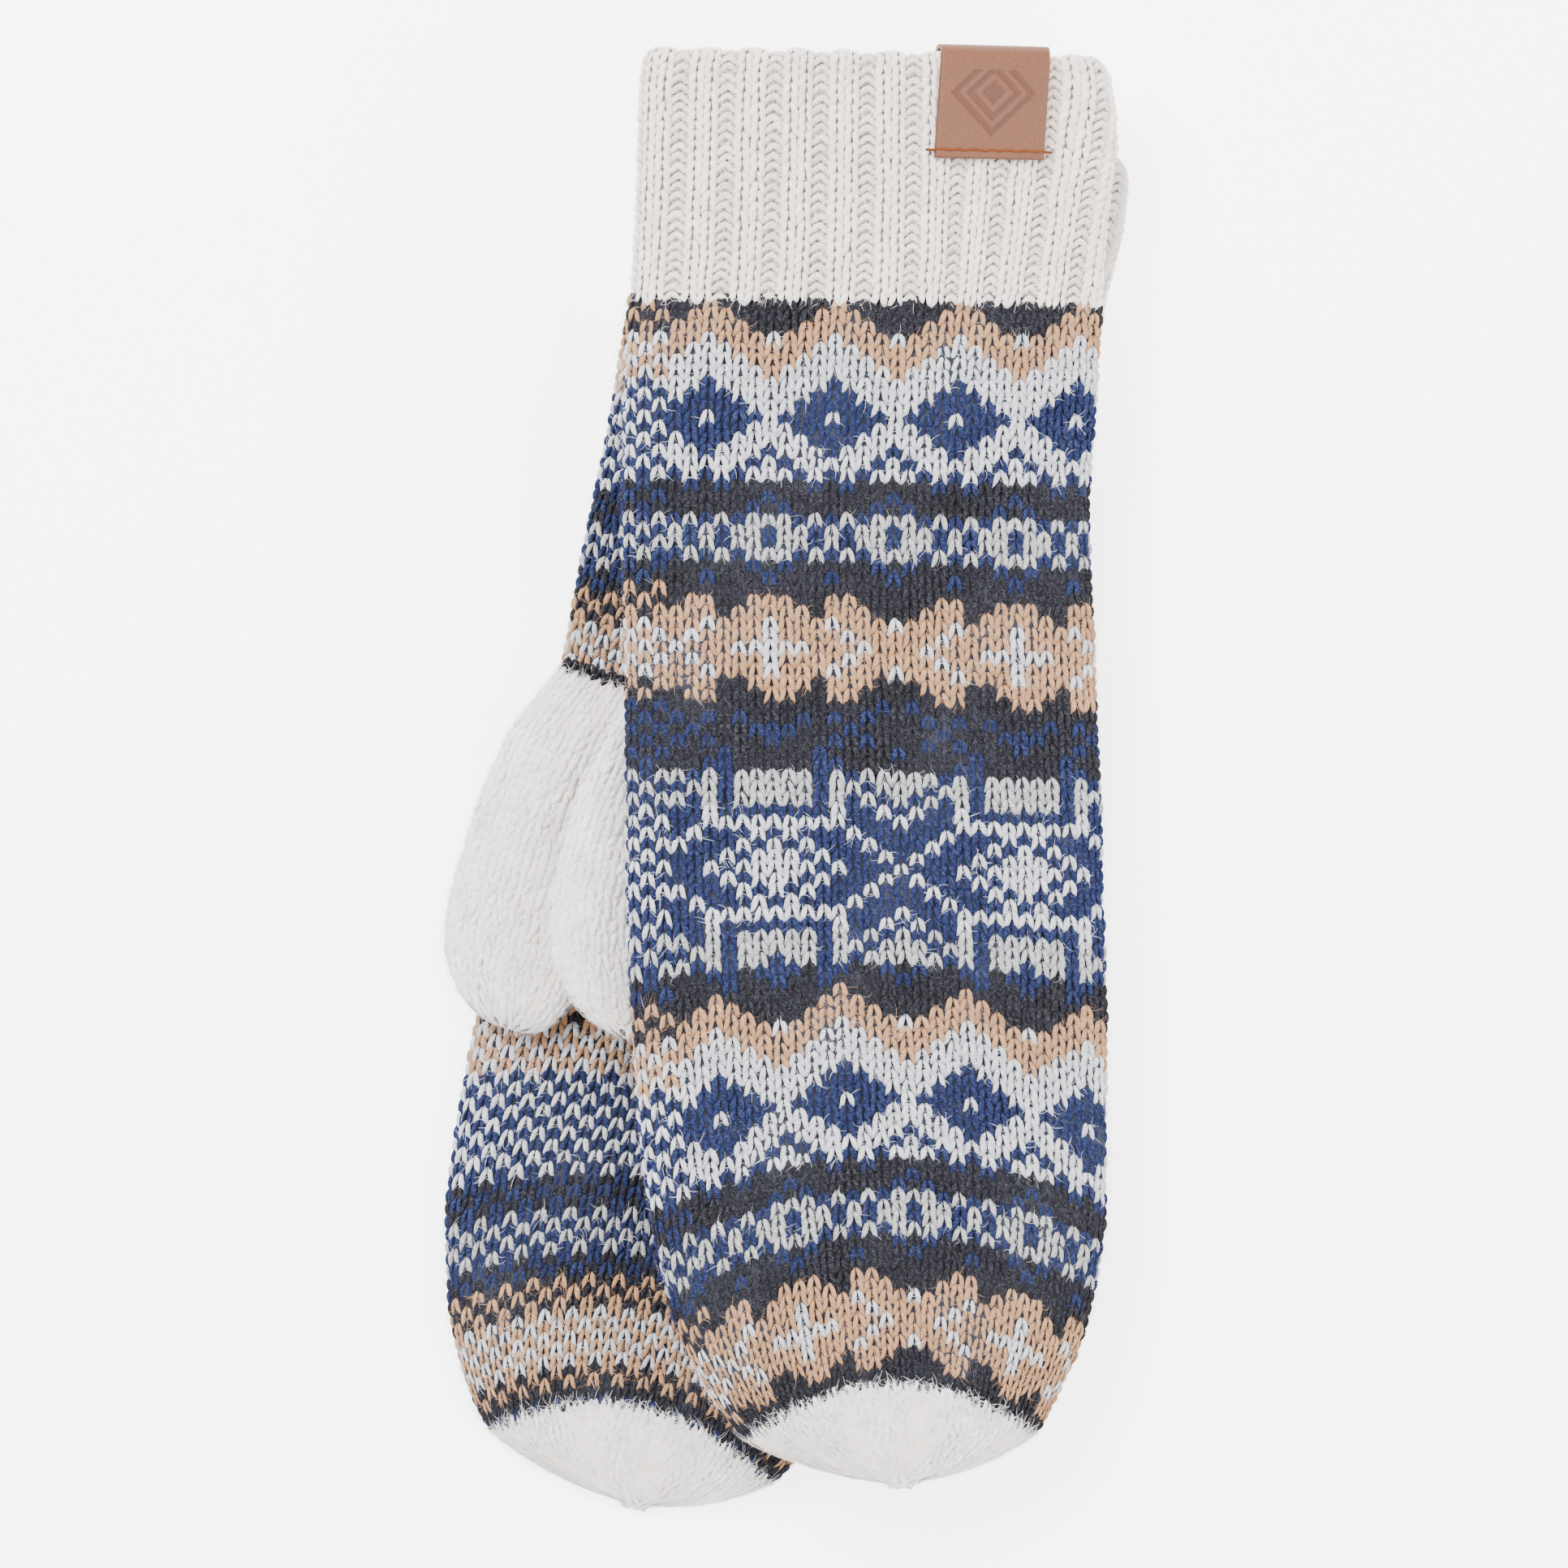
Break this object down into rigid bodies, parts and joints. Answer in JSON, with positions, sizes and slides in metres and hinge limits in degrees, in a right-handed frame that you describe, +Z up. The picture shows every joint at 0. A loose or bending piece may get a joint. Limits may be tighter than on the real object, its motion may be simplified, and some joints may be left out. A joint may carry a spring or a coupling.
{
  "type": "knitted mittens",
  "caption": "Pair of knitted mittens lying palm to palm, patterned hands, plain thumbs and folded ribbed cuffs with a folded leather patch.",
  "frame": {"origin": "centre of the pair's footprint, at the height of the surface it lies on", "axes": "+Z up, +Y along the mittens towards the cuffs, +X to the right with the cuffs at the top"},
  "size_m": [0.1329, 0.2853, 0.0421],
  "materials": {
    "cuff_wool": "ribbed cream wool",
    "facing_wool": "ribbed cream wool, folded in",
    "patterned_wool": "stranded wool in blue, charcoal, peach, grey and white",
    "white_wool": "plain knitted off-white wool",
    "lining_fleece": "soft knitted lining",
    "charcoal_wool": "heathered charcoal wool",
    "tan_leather": "tan nubuck",
    "brown_thread": "dark brown sewing thread"
  },
  "bodies": {
    "right_hand": {"right_hand_knit": "patterned_wool", "right_crown": "white_wool", "right_crown_yarn": "white_wool", "right_hand_lining": "lining_fleece", "right_thumb_band": "charcoal_wool", "right_cuff_rib": "cuff_wool", "right_cuff_facing": "facing_wool", "right_cuff_seam": "cuff_wool", "right_patch": "tan_leather", "right_patch_thread": "brown_thread"},
    "right_thumb": {"right_thumb_knit": "white_wool", "right_thumb_lining": "lining_fleece"},
    "left_hand": {"left_hand_knit": "patterned_wool", "left_crown": "white_wool", "left_crown_yarn": "white_wool", "left_hand_lining": "lining_fleece", "left_thumb_band": "charcoal_wool"},
    "left_cuff": {"left_cuff_rib": "cuff_wool", "left_cuff_facing": "facing_wool", "left_cuff_seam": "cuff_wool", "left_patch": "tan_leather", "left_patch_thread": "brown_thread"},
    "left_thumb": {"left_thumb_knit": "white_wool", "left_thumb_lining": "lining_fleece"}
  },
  "joints": [
    {"name": "left_lift", "type": "slide", "parent": "right_hand", "child": "left_hand", "axis": [0, 0, 1], "range_m": [0, 0.08]},
    {"name": "left_wrist", "type": "hinge", "parent": "left_hand", "child": "left_cuff", "pos_m": [0.0174, 0.09335, 0.03505], "axis": [0.9744, 0, -0.225], "range_deg": [0, 60]},
    {"name": "left_thumb_swing", "type": "hinge", "parent": "left_hand", "child": "left_thumb", "pos_m": [-0.0153, 0.019, 0.02316], "axis": [0.2924, 0, 0.9563], "range_deg": [-22, 3]},
    {"name": "right_thumb_swing", "type": "hinge", "parent": "right_hand", "child": "right_thumb", "pos_m": [-0.0319, 0.019, 0.0191], "axis": [0, 0, 1], "range_deg": [-25, 0]}
  ]
}
